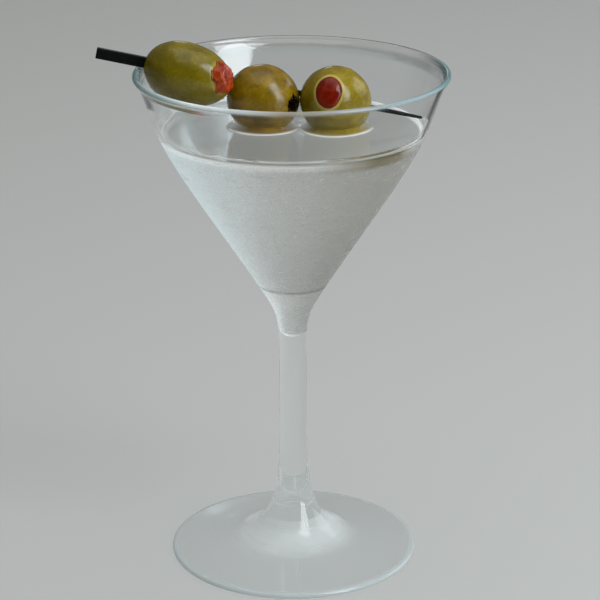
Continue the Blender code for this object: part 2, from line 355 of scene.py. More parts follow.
# painted shade: a dark ring at the neck; painted highlight: a bright band just under the level
CLOUD_AND_PAINTED_LIGHT_TONES = (
    (0.0, (1.0, 1.0, 0.99)),
    (SHADE_RING_PLACE - SHADE_RING_HALF, (0.80, 0.79, 0.77)),
    (SHADE_RING_PLACE, (0.06, 0.045, 0.035)),
    (SHADE_RING_PLACE + SHADE_RING_HALF, (0.61, 0.60, 0.58)),
    (0.970, (0.64, 0.635, 0.62)),
    (0.985, (1.0, 1.0, 1.0)),
)
CLOUD_AND_PAINTED_LIGHT_COVER = ((0.0, 0.82), (SHADE_RING_PLACE, 0.92), (0.970, 0.80), (0.985, 0.97))
# Painted image of the right olive, as seen through the drink, in the drink's side: its borders, and
# how it shows
PAINTED_IMAGE_LEFT = (0.008, 0.026)
PAINTED_IMAGE_RIGHT = (0.037, 0.033)
PAINTED_IMAGE_FRONT = (0.0, -0.004)
PAINTED_IMAGE_BOTTOM = (0.1452, 0.1462)
PAINTED_IMAGE_RAGGEDNESS = 0.0026
PAINTED_IMAGE_SHARE = 0.92
PAINTED_IMAGE_COLOUR = (0.22, 0.16, 0.015)
# Mist: its tones from left to right, painted light that is bright on the left and shade on the right,
# its smears and grain, how the smears are stretched, and how much thinner it is in front of the
# painted olive image
MIST_PAINTED_LIGHT_HALF_WIDTH = 0.030
MIST_PAINTED_LIGHT_TONES = (
    (0.0, (0.86, 0.96, 1.0)),
    (0.4, (0.79, 0.80, 0.80)),
    (0.7, (0.73, 0.72, 0.69)),
    (1.0, (0.66, 0.65, 0.61)),
)
SMEAR_COVER = ((0.27, 0.30), (0.37, 0.96), (0.62, 1.0))
GRAIN_COVER = ((0.3, 0.26), (0.7, 0.34))
SMEAR_STRETCH = (1.0, 1.0, 3.4)
MIST_THINNER = 0.75
# Drops: how pale they are, and their pale colour
DROP_PALENESS = 0.35
DROP_PALE_COLOUR = (0.90, 0.92, 0.93)

# Olives and stuffing: name of the finish and its colours, and how rough the pepper is
OLIVE_LOOKS = {
    "olive_1": ("olive skin 1", (0.120, 0.090, 0.001), (0.185, 0.137, 0.002), (0.26, 0.20, 0.02)),
    # olive_2's cut flesh is near black: painted shade in its pit
    "olive_2": ("olive skin 2", (0.120, 0.070, 0.001), (0.260, 0.155, 0.002), (0.02, 0.01, 0.003)),
    "olive_3": ("olive skin 3", (0.165, 0.115, 0.001), (0.250, 0.180, 0.002), (0.42, 0.34, 0.07)),
}
PEPPER_LOOKS = {
    "pimento_1": ("pepper 1", (0.20, 0.012, 0.001), (0.44, 0.060, 0.006), 0.26),
    "pimento_3": ("pepper 3", (0.11, 0.005, 0.0005), (0.19, 0.010, 0.001), 0.18),
}

# Floor: how far it reaches each way, how far it is under the foot, and its colour
FLOOR_REACH = 6.0
FLOOR_GAP = 0.0001
FLOOR_COLOUR = (0.46, 0.46, 0.45)

# Camera: where it stands, which way it is turned, and its lens
CAMERA_PLACE = Vector((0.0, -0.71142, 0.34474))
CAMERA_PITCH = math.radians(19.749)
CAMERA_YAW = math.radians(0.1957)
CAMERA_ROLL = math.radians(0.1709)
CAMERA_LENS = 137.13
SENSOR = 36.0

# Studio: its light from the ground upward, and its share behind the camera, to the left and
# in mirrored light
ROOM_TONES = ((0.0, (0.38, 0.38, 0.37)), (0.35, (0.42, 0.42, 0.41)), (0.8, (0.70, 0.70, 0.69)))
ROOM_BEHIND_CAMERA = 0.22
ROOM_TO_THE_LEFT = 0.45
ROOM_IN_MIRRORS = 0.45
# Lamps: name, azimuth, elevation, distance, width, height, radiance, colour
LIGHT_TARGET = Vector((0.0, 0.0, 0.14))
LAMPS = (
    ("front lamp", 50, 32, 1.3, 0.62, 1.55, 6.2, (0.88, 0.96, 1.0)),
    ("side lamp", 118, 18, 1.5, 1.0, 0.9, 1.6, (0.90, 0.96, 1.0)),
    ("overhead lamp", 0, 88, 1.6, 1.6, 1.6, 0.9, (1.0, 0.99, 0.96)),
    ("back lamp", 183.7, 15.5, 1.35, 0.155, 0.26, 1.5, (0.78, 0.93, 1.0)),
)


def in_scene(name, data):
    """A new object with its data, linked to the scene."""
    made = bpy.data.objects.new(name, data)
    bpy.context.scene.collection.objects.link(made)
    return made


def clamped(value):
    """A value kept between 0 and 1."""
    return max(0.0, min(1.0, value))


def closed_rows_object(name, rows, finish, start=None, end=None):
    """A smooth mesh from rows of points that run once round, closed by a point at either end."""
    count = len(rows[0])
    points = [point for row in rows for point in row]
    faces = []
    for row in range(len(rows) - 1):
        base = row * count
        above = base + count
        for index in range(count):
            following = (index + 1) % count
            faces.append((base + index, base + following, above + following, above + index))
    if start is not None:
        points.append(start)
        pole = len(points) - 1
        faces.extend((pole, (index + 1) % count, index) for index in range(count))
    if end is not None:
        points.append(end)
        pole = len(points) - 1
        base = (len(rows) - 1) * count
        faces.extend((pole, base + index, base + (index + 1) % count) for index in range(count))
    mesh = bpy.data.meshes.new(name)
    mesh.from_pydata([tuple(point) for point in points], [], faces)
    shape = bmesh.new()
    shape.from_mesh(mesh)
    bmesh.ops.recalc_face_normals(shape, faces=shape.faces)
    shape.to_mesh(mesh)
    shape.free()
    mesh.shade_smooth()
    mesh.materials.append(finish)
    return in_scene(name, mesh)


def add_finish(piece, finish, wanted):
    """Give the faces that pass a test a finish of their own."""
    piece.data.materials.append(finish)
    index = len(piece.data.materials) - 1
    for face in piece.data.polygons:
        if wanted(face):
            face.material_index = index


def store(piece, name, values):
    """Store a value on each point of a piece."""
    piece.data.attributes.new(name, "FLOAT", "POINT").data.foreach_set("value", values)


def smooth_curve(points, steps):
    """Points along a centripetal Catmull-Rom curve through the given (radius, height) points."""
    knots = [Vector(point) for point in points]
    knots.insert(0, 2 * knots[0] - knots[1])
    knots.append(2 * knots[-1] - knots[-2])
    curve = [knots[1]]
    for before, start, end, after in zip(knots, knots[1:], knots[2:], knots[3:]):
        t1 = math.sqrt((start - before).length)
        t2 = t1 + math.sqrt((end - start).length)
        t3 = t2 + math.sqrt((after - end).length)
        for step in range(1, steps + 1):
            t = t1 + (t2 - t1) * step / steps
            a1 = before * ((t1 - t) / t1) + start * (t / t1)
            a2 = start * ((t2 - t) / (t2 - t1)) + end * ((t - t1) / (t2 - t1))
            a3 = end * ((t3 - t) / (t3 - t2)) + after * ((t - t2) / (t3 - t2))
            b1 = a1 * ((t2 - t) / t2) + a2 * (t / t2)
            b2 = a2 * ((t3 - t) / (t3 - t1)) + a3 * ((t - t1) / (t3 - t1))
            curve.append(b1 * ((t2 - t) / (t2 - t1)) + b2 * ((t - t1) / (t2 - t1)))
    return curve


def arc(centre, radius, start, end, steps):
    """Points on an arc, with angles in degrees, 0 pointing away from the axis."""
    points = []
    for step in range(steps + 1):
        angle = math.radians(start + (end - start) * step / steps)
        point = (centre[0] + radius * math.cos(angle), centre[1] + radius * math.sin(angle))
        points.append(Vector(point))
    return points


def inside_outline():
    """The inside of the bowl from its neck down to the bottom of the well."""
    well_centre = (0.0, WELL_BOTTOM + WELL_RADIUS)
    curve = smooth_curve([*BOWL_INSIDE, (WELL_RADIUS, well_centre[1])], CURVE_STEPS)
    return curve + arc(well_centre, WELL_RADIUS, 0, -90, WELL_STEPS)[1:]


def foot_edge():
    """The round edge of the foot, from its underside to its top."""
    centre = (FOOT_RADIUS - FOOT_EDGE_RADIUS, FOOT_EDGE_RADIUS)
    return arc(centre, FOOT_EDGE_RADIUS, *FOOT_EDGE_ANGLES, FOOT_EDGE_STEPS)


def outside_outline():
    """The outside from the top of the foot's edge to the neck under the rim."""
    return smooth_curve([foot_edge()[-1], *FOOT_AND_STEM, *BOWL_OUTSIDE], CURVE_STEPS)


def glass_outline():
    """The whole outline of the glass, from under its foot over the rim to the inside of the bowl."""
    bead_centre = (RIM_RADIUS - BEAD_RADIUS, GLASS_HEIGHT - BEAD_RADIUS)
    bead = arc(bead_centre, BEAD_RADIUS, *BEAD_ANGLES, BEAD_STEPS)
    below = smooth_curve(UNDERSIDE, CURVE_STEPS) + foot_edge()
    return below + outside_outline()[1:] + bead + inside_outline()[:-1]


def full_turn(count):
    """Angles once round, in even steps."""
    return [math.tau * index / count for index in range(count)]


def ring(radius, height):
    """Points once round the axis."""
    turns = full_turn(GLASS_SEGMENTS)
    return [Vector((radius * math.cos(turn), radius * math.sin(turn), height)) for turn in turns]


def on_rim(face):
    """Whether a face of the glass is on its rim, or on the wall between rim and drink."""
    return face.center.z > WALL_OVER_DRINK


def under_foot(face):
    """Whether a face of the glass is on the underside of the foot."""
    return face.normal.z < UNDERSIDE_TILT and face.center.z < UNDERSIDE_TOP


def on_foot(face):
    """Whether a face of the glass is on the top of the foot, inside its edge."""
    inside = math.hypot(*face.center.xy) < FOOT_EDGE_START
    return face.center.z < FOOT_FLARE_TOP and inside and not under_foot(face)


def on_foot_edge(face):
    """Whether a face of the glass is on the round edge of the foot."""
    return face.center.z < FOOT_FLARE_TOP and math.hypot(*face.center.xy) >= FOOT_EDGE_START


def make_glass():
    """Foot, stem, bowl and beaded rim as one turned body."""
    rows = [ring(radius, height) for radius, height in glass_outline()]
    start = Vector((0.0, 0.0, FOOT_HOLLOW))
    end = Vector((0.0, 0.0, WELL_BOTTOM))
    glass = closed_rows_object("martini_glass", rows, glass_material(), start, end)
    add_finish(glass, rim_material(), on_rim)
    add_finish(glass, foot_material(), on_foot)
    add_finish(glass, foot_edge_material(), on_foot_edge)
    add_finish(glass, underside_material(), under_foot)
    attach(glass, ROOT)
    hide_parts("glass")


def radius_at(outline, height):
    """Where an outline crosses a height."""
    for one, other in zip(outline, outline[1:]):
        low, high = sorted((one, other), key=lambda point: point.y)
        if low.y <= height <= high.y and high.y > low.y:
            return low.x + (high.x - low.x) * (height - low.y) / (high.y - low.y)
    raise ValueError("the outline doesn't reach that height")


def slope_at(outline, height):
    """How much wider an outline gets for each metre up, at a height."""
    rise = radius_at(outline, height + SLOPE_STEP) - radius_at(outline, height - SLOPE_STEP)
    return rise / (2 * SLOPE_STEP)


def facing_matrix(place, facing):
    """Stand a shape's Z axis along a direction, its Y axis as upright as it can be."""
    forward = facing.normalized()
    side = Vector((0, 0, 1)).cross(forward).normalized()
    upward = forward.cross(side)
    turned = Matrix((side, upward, forward)).transposed().to_4x4()
    return Matrix.Translation(place) @ turned


def olive_frame(spec):
    """The olive's own frame, its Z axis along its length."""
    return facing_matrix(spec["centre"], spec["axis"])


def skin_distance(spec, local):
    """How far the even skin of an olive is from its centre in a unit direction of its own frame."""
    half_length = spec["length"] / 2
    start = spec["waves_from"]
    around = spec["width"] / 2
    reach = around
    for _ in range(SKIN_ROUNDS):
        across = (local.x ** 2 + local.y ** 2) / around ** 2
        reach = 1 / math.sqrt(across + (local.z / half_length) ** 2)
        x = local.x * reach / around
        y = local.y * reach / around
        z = local.z * reach / half_length
        waves = math.sin(3 * x + 2 * y + start) + math.sin(4 * z - 3 * y + 2 * start)
        unevenness = 1 + UNEVENNESS * waves * (1 - z * z)
        around = (spec["width"] / 2) * (1 - spec["taper"] * z) * unevenness
    return reach


def skin_point(spec, direction):
    """The point of an olive's skin in a unit world direction from its centre."""
    local = olive_frame(spec).to_3x3().inverted() @ direction
    return spec["centre"] + direction * skin_distance(spec, local)


def distance_to_olive(spec, inverse, point):
    """About how far a point is outside an olive's skin."""
    local = inverse @ point
    reach = local.length
    if reach < TINY_LENGTH:
        return -spec["width"] / 2
    return reach - skin_distance(spec, local / reach)


def surface_height(point, wall_radius, dips):
    """The drink's surface at a point: level, and climbing the wall and the olives."""
    radius = math.hypot(point.x, point.y)
    climb = WALL_CLIMB * math.exp(-(wall_radius - radius) / WALL_CLIMB_REACH)
    pull = 0.0
    for spec, inverse in dips:
        distance = max(distance_to_olive(spec, inverse, point) - OLIVE_CONTACT, 0.0)
        pull += math.exp(-distance / OLIVE_CLIMB_REACH)
    return DRINK_LEVEL + climb + OLIVE_CLIMB * min(pull, JOINT_CLIMB_LIMIT)


def surface_marks(place, wall_radius, dips):
    """How much painted highlight a point of the surface gets where it climbs, and how much painted
    reflection of an olive.
    """
    point = Vector((place.x, place.y, DRINK_LEVEL))
    away = min(distance_to_olive(spec, inverse, point) for spec, inverse in dips)
    front = clamped((FRONT_FADE - place.y) / (2 * FRONT_FADE))
    # painted highlight lines near the olives and the wall, and the painted reflection of the olives
    # inside them
    highlight_by_olive = front * math.exp(-((away - CLIMB_HIGHLIGHT_AWAY) / CLIMB_HIGHLIGHT_WIDTH) ** 2)
    from_wall = max(wall_radius - math.hypot(*place.xy), 0.0)
    highlight_by_wall = math.exp(-(from_wall / WALL_HIGHLIGHT_WIDTH) ** 2)
    reflection_paint = front * clamped((CLIMB_HIGHLIGHT_AWAY - away) / PAINTED_REFLECTION_FADE)
    return max(highlight_by_olive, highlight_by_wall), reflection_paint


def mark_surface(drink, wall_radius, dips):
    """Store on each point of the drink the painted highlight lines where it climbs, and the painted
    reflection of the olives.
    """
    marks = []
    for vert in drink.data.vertices:
        if vert.co.z > DRINK_LEVEL - SURFACE_MARGIN:
            marks.append(surface_marks(vert.co, wall_radius, dips))
        else:
            marks.append((0.0, 0.0))
    store(drink, "climb", [climb for climb, _ in marks])
    store(drink, "mirrored", [reflection_paint for _, reflection_paint in marks])


def drink_rows(wall, top, top_radius, dips):
    """Rings of the drink: over its surface to the wall, then down just inside the wall."""
    rows = []
    for step in range(1, SURFACE_RINGS + 1):
        radius = top_radius * (1 - (1 - step / SURFACE_RINGS) ** RINGS_CROWD_OUTWARD)
        row = []
        for point in ring(radius, DRINK_LEVEL):
            row.append(Vector((point.x, point.y, surface_height(point, top_radius, dips))))
        rows.append(row)
    rows.append(ring(top_radius + INTO_WALL, top))
    below = [point for point in wall if point.y < top]
    for point, following in zip(below, below[1:]):
        run = (following - point).normalized()
        moved = point + Vector((-run.y, run.x)) * INTO_WALL
        rows.append(ring(moved.x, moved.y))
    return rows


def make_drink():
    """The drink up to its level, just into the wall, climbing the wall and the two lower olives."""
    wall = inside_outline()
    top = DRINK_LEVEL + WALL_CLIMB
    top_radius = radius_at(wall, top)
    dips = [(OLIVES[name], olive_frame(OLIVES[name]).inverted()) for name in ("olive_2", "olive_3")]
    rows = drink_rows(wall, top, top_radius, dips)
    middle = Vector((0, 0, surface_height(Vector((0, 0, DRINK_LEVEL)), top_radius, dips)))
    bottom = Vector((0, 0, WELL_BOTTOM - INTO_WALL))
    drink = closed_rows_object("drink_body", rows, drink_material(), middle, bottom)
    add_finish(drink, drink_side_material(), lambda face: face.normal.z < 0.0)
    mark_surface(drink, top_radius, dips)
    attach(drink, ROOT)
    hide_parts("drink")


def make_mist():
    """A thin film of condensed mist on the outside of the bowl, up to the drink's level."""
    outline = outside_outline()
    inner = []
    outer = []
    for step in range(MIST_RINGS + 1):
        height = MIST_BOTTOM + (MIST_TOP - MIST_BOTTOM) * step / MIST_RINGS
        place = Vector((radius_at(outline, height), height))
        outward = Vector((1.0, -slope_at(outline, height))).normalized()
        inner.append(place + outward * MIST_CLEAR)
        outer.append(place + outward * (MIST_CLEAR + MIST_THICKNESS))
    rows = [ring(radius, height) for radius, height in outer + inner[::-1]]
    rows.append(rows[0])
    mist = closed_rows_object("condensation", rows, mist_material())
    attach(mist, ROOT)


def make_drops():
    """Fine drops of condensed water on the outside of the bowl, most of them just under the level."""
    outline = outside_outline()
    chance = random.Random(DROP_SEED)
    shape = bmesh.new()
    for _ in range(DROP_COUNT):
        height = DROP_TOP - DROP_REACH * chance.random() ** DROP_CROWDING
        turn = chance.uniform(0, math.tau)
        size = chance.uniform(*DROP_SIZES)
        radius = radius_at(outline, height)
        outward = Vector((math.cos(turn), math.sin(turn), -slope_at(outline, height))).normalized()
        place = Vector((radius * math.cos(turn), radius * math.sin(turn), height))
        seat = facing_matrix(place + outward * (MIST_CLEAR + MIST_THICKNESS), outward)
        high = size * chance.uniform(*DROP_STRETCH)
        form = Matrix.Diagonal((size, high, size * DROP_FLATNESS, 1.0))
        bmesh.ops.create_icosphere(shape, subdivisions=2, radius=0.5, matrix=seat @ form)
    mesh = bpy.data.meshes.new("condensation_drops")
    shape.to_mesh(mesh)
    shape.free()
    mesh.shade_smooth()
    mesh.materials.append(drop_material())
    drops = in_scene("condensation_drops", mesh)
    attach(drops, ROOT)


def fine_skin(point, spec):
    """How far the skin of a real olive strays from its even shape at a point."""
    seed = Vector((spec["waves_from"] * 7, 0, 0))
    broad = noise.noise(point * BROAD_WAVES[0] + seed) * BROAD_WAVES[1]
    fine = noise.noise(point * FINE_WAVES[0] + seed) * FINE_WAVES[1]
    return broad + fine + spec["fuller"]


def mouth_share(angle, ragged):
    """How far the edge of a pit's mouth strays at an angle round it."""
    lobes = sum(strong * math.sin(many * angle + start) for many, strong, start in MOUTH_LOBES)
    return 1 + ragged * lobes / MOUTH_LOBES_SUM


def mouth_of_pit(spec, pit):
    """The way a pit faces, and the middle of its mouth on the even skin."""
    facing = pit["facing"].normalized()
    return facing, skin_point(spec, facing)


def lip_of_pit(spec, pit, angle):
    """The lip at an angle round a pit: across its mouth in the pit's frame and in the world, and
    its direction from the olive's centre."""
    facing, mouth = mouth_of_pit(spec, pit)
    half_width, half_height = pit["half"]
    across = Vector((math.cos(angle) * half_width, math.sin(angle) * half_height, 0))
    across = across * mouth_share(angle, pit["ragged"])
    offset = facing_matrix(Vector((0, 0, 0)), facing).to_3x3() @ across
    return across, offset, (mouth + offset - spec["centre"]).normalized()


def pit_rows(spec, pit, lips):
    """Rings of a pit from its bottom up to its lip."""
    facing, mouth = mouth_of_pit(spec, pit)
    rows = []
    for step in range(1, PIT_RINGS + 1):
        share = step / PIT_RINGS
        width = math.sin(share * math.pi / 2) ** PIT_ROUNDNESS
        depth = 1 - share ** PIT_FLATNESS
        row = []
        for _, offset, direction in lips:
            drop = (mouth - skin_point(spec, direction)).dot(facing)
            down = drop + (pit["depth"] - drop) * depth
            row.append(mouth + offset * width - facing * down)
        rows.append(row)
    return rows


def skin_rows(spec, facing, lips):
    """Rings of an olive's skin from the rounded lip of its pit to its far end."""
    rows = []
    for step in range(1, SKIN_RINGS):
        share = (step / SKIN_RINGS) ** RINGS_CROWD_TO_LIP
        row = []
        for _, _, direction in lips:
            whole = direction.angle(-facing)
            turned = direction.slerp(-facing, share) if whole > TINY_ANGLE else direction
            point = skin_point(spec, turned)
            at_lip = math.exp(-whole * share * spec["width"] / 2 / LIP)
            row.append(point + turned * (fine_skin(point, spec) * (1 - at_lip) - LIP * at_lip * 0.5))
        rows.append(row)
    return rows


def make_olive(name, look):
    """One olive with its pit, in place of its solid."""
    spec = OLIVES[name]
    pit = PITS[name]
    facing, mouth = mouth_of_pit(spec, pit)
    lips = [lip_of_pit(spec, pit, turn) for turn in full_turn(OLIVE_SEGMENTS)]
    rows = pit_rows(spec, pit, lips) + skin_rows(spec, facing, lips)
    bottom = mouth - facing * pit["depth"]
    far_end = skin_point(spec, -facing)
    olive = closed_rows_object(name + "_skin", rows, olive_material(*look), bottom, far_end)
    mark_flesh(olive, spec, pit)
    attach(olive, ROOT)
    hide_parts(name)


def mark_flesh(olive, spec, pit):
    """Store on each point how much of it is cut flesh, and not skin."""
    facing, mouth = mouth_of_pit(spec, pit)
    inverse = facing_matrix(mouth, facing).inverted()
    values = []
    for vert in olive.data.vertices:
        local = inverse @ vert.co
        across = math.hypot(local.x / pit["half"][0], local.y / pit["half"][1])
        inside = 1.0 if local.z > -pit["depth"] * FLESH_DEPTH else 0.0
        values.append(inside * clamped((FLESH_EDGE - across) / FLESH_FADE))
    store(olive, "flesh", values)


def pit_edge(spec, pit, angle):
    """The edge of a pit's mouth at an angle: how far across, and how far below its middle."""
    facing, mouth = mouth_of_pit(spec, pit)
    across, _, direction = lip_of_pit(spec, pit, angle)
    return across, (mouth - skin_point(spec, direction)).dot(facing)


def make_stuffing(name, look):
    """The folded red pepper that fills one olive's pit up to its edge."""
    part = STUFFING[name]
    spec = OLIVES[part["olive"]]
    pit = PITS[part["olive"]]
    facing, mouth = mouth_of_pit(spec, pit)
    placed = facing_matrix(mouth, facing)
    edges = [pit_edge(spec, pit, turn) for turn in full_turn(STUFFING_SEGMENTS)]
    seed = Vector((part["seed"], 0, 0))
    back = -pit["depth"] * STUFFING_DEPTH
    rows = []
    for step in range(1, STUFFING_RINGS):
        turn = math.pi * step / STUFFING_RINGS
        swell = math.cos(turn)
        front = clamped(swell * FOLD_FADE + FOLD_AT_EDGE)
        row = []
        for across, drop in edges:
            side = across * (math.sin(turn) ** STUFFING_FULLNESS * part["wide"])
            edge = -drop - part["tucked"]
            up = edge + (part["proud"] - edge) * swell if swell > 0 else edge + (edge - back) * swell
            point = Vector((side.x, side.y, up))
            ridge = 1 - abs(noise.noise(point * part["scale"] + seed)) * FOLD_SHARPNESS
            point.z += part["wrinkle"] * (ridge - FOLD_MIDDLE) * front
            row.append(placed @ point)
        rows.append(row)
    top = placed @ Vector((0, 0, part["proud"]))
    bottom = placed @ Vector((0, 0, back))
    stuffing = closed_rows_object(name + "_pepper", rows, pepper_material(*look), top, bottom)
    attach(stuffing, ROOT)
    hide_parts(name)


class Tree:
    """The nodes of a material or of the world, with short ways to add more.

    An input is given as a number, a colour or the socket of another node.
    """

    def __init__(self, owner, output):
        self.owner = owner
        owner.use_nodes = True
        self.nodes = owner.node_tree.nodes
        self.links = owner.node_tree.links
        self.nodes.clear()
        self.output = self.nodes.new(output)

    def put(self, value, socket):
        """Set a socket, or link another one to it."""
        if isinstance(value, bpy.types.NodeSocket):
            self.links.new(value, socket)
        elif socket.type == "RGBA":
            socket.default_value = (*value, 1.0)
        else:
            socket.default_value = value

    def add(self, kind, inputs):
        """A node with some of its inputs, by name or number."""
        node = self.nodes.new(kind)
        for name, value in inputs.items():
            self.put(value, node.inputs[name])
        return node

    def shader(self, kind, inputs):
        """A shader with some of its inputs."""
        return self.add("ShaderNodeBsdf" + kind, inputs).outputs[0]

    def math(self, operation, first, second):
        """A sum, product or other operation on two values."""
        node = self.add("ShaderNodeMath", {0: first, 1: second})
        node.operation = operation
        return node.outputs[0]

    def product(self, first, *others):
        """Values multiplied together."""
        for other in others:
            first = self.math("MULTIPLY", first, other)
        return first

    def span(self, value, start, end, to_start=0.0, to_end=1.0):
        """A value moved from one range to another, and kept inside it."""
        inputs = {"Value": value, "From Min": start, "From Max": end}
        inputs.update({"To Min": to_start, "To Max": to_end})
        return self.add("ShaderNodeMapRange", inputs).outputs[0]

    def place(self, kind="Object"):
        """The place on the piece, or another kind of place."""
        return self.nodes.new("ShaderNodeTexCoord").outputs[kind]

    def axes(self, vector):
        """The X, Y and Z of a place or direction, as three sockets."""
        split = self.add("ShaderNodeSeparateXYZ", {0: vector})
        return split.outputs["X"], split.outputs["Y"], split.outputs["Z"]

    def scaled(self, scale):
        """The place on the piece, scaled along its axes."""
        inputs = {"Vector": self.place(), "Scale": scale}
        return self.add("ShaderNodeMapping", inputs).outputs[0]

    def noise(self, scale, detail, distortion=0.0, place=None):
        """Noise over the piece at a scale in waves for each metre."""
        inputs = {"Scale": scale, "Detail": detail, "Distortion": distortion}
        inputs["Vector"] = self.place() if place is None else place
        return self.add("ShaderNodeTexNoise", inputs).outputs["Fac"]

    def ramp(self, value, *stops):
        """Colours or shades of grey along a value: (place, colour or shade) pairs."""
        node = self.add("ShaderNodeValToRGB", {"Fac": value})
        elements = node.color_ramp.elements
        while len(elements) < len(stops):
            elements.new(0.5)
        for element, (place, colour) in zip(elements, stops):
            element.position = place
            element.color = (*colour, 1.0) if isinstance(colour, tuple) else (*[colour] * 3, 1.0)
        return node.outputs["Color"]

    def mark(self, name):
        """What is stored on the points of the piece under a name."""
        node = self.nodes.new("ShaderNodeAttribute")
        node.attribute_name = name
        return node.outputs["Fac"]

    def bumps(self, strength, depth, height):
        """A surface direction that is roughened by a height."""
        inputs = {"Strength": strength, "Distance": depth, "Height": height}
        return self.add("ShaderNodeBump", inputs).outputs["Normal"]

    def mix_colours(self, share, first, second, way="MIX"):
        """A mix of two colours."""
        node = self.nodes.new("ShaderNodeMix")
        node.data_type = "RGBA"
        node.blend_type = way
        for index, value in ((0, share), (6, first), (7, second)):
            self.put(value, node.inputs[index])
        return node.outputs[2]

    def mix(self, share, first, second):
        """A mix of two shaders."""
        return self.add("ShaderNodeMixShader", {0: share, 1: first, 2: second}).outputs[0]

    def clear(self, colour, ior, roughness=0.0):
        """A shader that bends light as glass or drink does."""
        inputs = {"Base Color": colour, "Roughness": roughness}
        inputs.update({"IOR": ior, "Transmission Weight": 1.0})
        return self.shader("Principled", inputs)

    def haze(self, colour, onward):
        """Fine drops or bubbles: a share of the light that meets them goes on, the rest comes back."""
        front = self.shader("Diffuse", {"Color": colour})
        return self.mix(onward, front, self.shader("Translucent", {"Color": colour}))

    def show(self, shader):
        """End the tree with a shader, and return what the tree belongs to."""
        self.links.new(shader, self.output.inputs["Surface"])
        return self.owner

    def show_clear(self, shader, tint):
        """End the tree with a shader that soft light passes straight, on its way to what is behind."""
        path = self.nodes.new("ShaderNodeLightPath").outputs
        passing = self.math("MAXIMUM", path["Is Shadow Ray"], path["Is Diffuse Ray"])
        return self.show(self.mix(passing, shader, self.shader("Transparent", {"Color": tint})))


def new_finish(name):
    """The tree of a new material."""
    return Tree(bpy.data.materials.new(name), "ShaderNodeOutputMaterial")


def glass_material():
    """Clear glass, faintly green at its edges."""
    tree = new_finish("clear glass")
    return tree.show_clear(tree.clear(GLASS_COLOUR, GLASS_IOR), GLASS_SHADE)


def calm_share(tree, x, y, z):
    """How much the rim and the wall over the drink leave the view unbent."""
    middle = tree.product(tree.span(x, *RIM_CALM_LEFT), tree.span(x, *RIM_CALM_RIGHT))
    at_rim = tree.math("MAXIMUM", tree.span(y, *RIM_CALM_BEHIND), middle)
    at_rim = tree.product(at_rim, tree.span(z, *RIM_CALM_BELOW))
    lean = tree.product(tree.math("SUBTRACT", z, WALL_OVER_DRINK), WALL_LEAN)
    on_wall = tree.product(
        tree.span(x, *WALL_CALM_LEFT),
        tree.span(tree.math("SUBTRACT", x, lean), *WALL_CALM_RIGHT),
        tree.span(y, *WALL_CALM_FRONT),
        tree.span(z, *WALL_CALM_BELOW),
    )
    return tree.math("MAXIMUM", at_rim, on_wall)


def rim_material():
    """The wall over the drink and the rim: painted highlights and reflections on the front bead,
    painted shade behind.
    """
    tree = new_finish("rim glass")
    x, y, z = tree.axes(tree.place())
    facing_up = tree.axes(tree.nodes.new("ShaderNodeNewGeometry").outputs["Normal"])[2]
    below = tree.clear(GLASS_COLOUR, GLASS_IOR)
    bent = tree.mix(tree.span(z, *RIM_START), below, tree.clear(RIM_COLOUR, GLASS_IOR))
    shine = tree.shader("Glossy", {"Roughness": 0.02})
    thin = tree.mix(tree.span(y, *RIM_SHINE), tree.shader("Transparent", {}), shine)
    glass = tree.mix(calm_share(tree, x, y, z), bent, thin)
    # painted light: highlights and reflections on the front bead, in tones from left to right
    tones = tree.ramp(tree.span(x, -RIM_RADIUS, RIM_RADIUS), *BEAD_PAINTED_LIGHT_TONES)
    inputs = {"Base Color": tones, "Roughness": 0.12, "Specular IOR Level": 0.4}
    painted_light_share = tree.product(
        tree.span(facing_up, *BEAD_PAINTED_LIGHT),
        tree.span(z, *BEAD_BELOW),
        tree.span(y, *BEAD_BEHIND),
    )
    beaded = tree.mix(painted_light_share, glass, tree.shader("Principled", inputs))
    # painted shade: a thin dark line on the top edge of the rim behind
    edge = tree.add("ShaderNodeLayerWeight", {"Blend": 0.5}).outputs["Facing"]
    painted_line_share = tree.product(
        tree.span(edge, *BACK_SHADE_LINE_EDGE),
        tree.span(facing_up, *BACK_SHADE_LINE_TOP),
        tree.span(y, *BACK_SHADE_LINE_BORDER),
    )
    line = tree.shader("Diffuse", {"Color": BACK_SHADE_LINE_COLOUR})
    return tree.show_clear(tree.mix(painted_line_share, beaded, line), GLASS_SHADE)


def foot_material():
    """Clear glass of the foot, with a soft painted highlight where it flares up to the stem."""
    tree = new_finish("foot glass")
    radius = tree.add("ShaderNodeVectorMath", {0: tree.scaled((1.0, 1.0, 0.0))})
    radius.operation = "LENGTH"
    # painted highlight: a pale zone where the foot flares, by distance from the axis, mixed into the
    # clear glass
    share = tree.ramp(tree.span(radius.outputs["Value"], 0.0, FOOT_RADIUS), *FOOT_PAINTED_HIGHLIGHT)
    clear = tree.clear(GLASS_COLOUR, GLASS_IOR, roughness=0.12)
    pale = tree.haze(FOOT_HIGHLIGHT_COLOUR, onward=0.3)
    return tree.show_clear(tree.mix(share, clear, pale), GLASS_SHADE)


def foot_edge_material():
    """The rounded edge of the foot, partly solid grey: a painted sheen where the glass edge catches
    light.
    """
    tree = new_finish("foot edge glass")
    # painted sheen: solid grey mixed into the clear edge
    pale = tree.shader("Principled", {"Base Color": FOOT_EDGE_SHEEN_COLOUR, "Roughness": 0.12})
    clear = tree.clear(RIM_COLOUR, GLASS_IOR)
    return tree.show_clear(tree.mix(FOOT_EDGE_SHEEN_SHARE, clear, pale), GLASS_SHADE)


def underside_material():
    """The underside of the foot, which lies so close to the floor that it doesn't bend the view."""
    tree = new_finish("foot underside")
    return tree.show_clear(tree.clear(UNDERSIDE_COLOUR, NO_BEND_IOR), GLASS_SHADE)


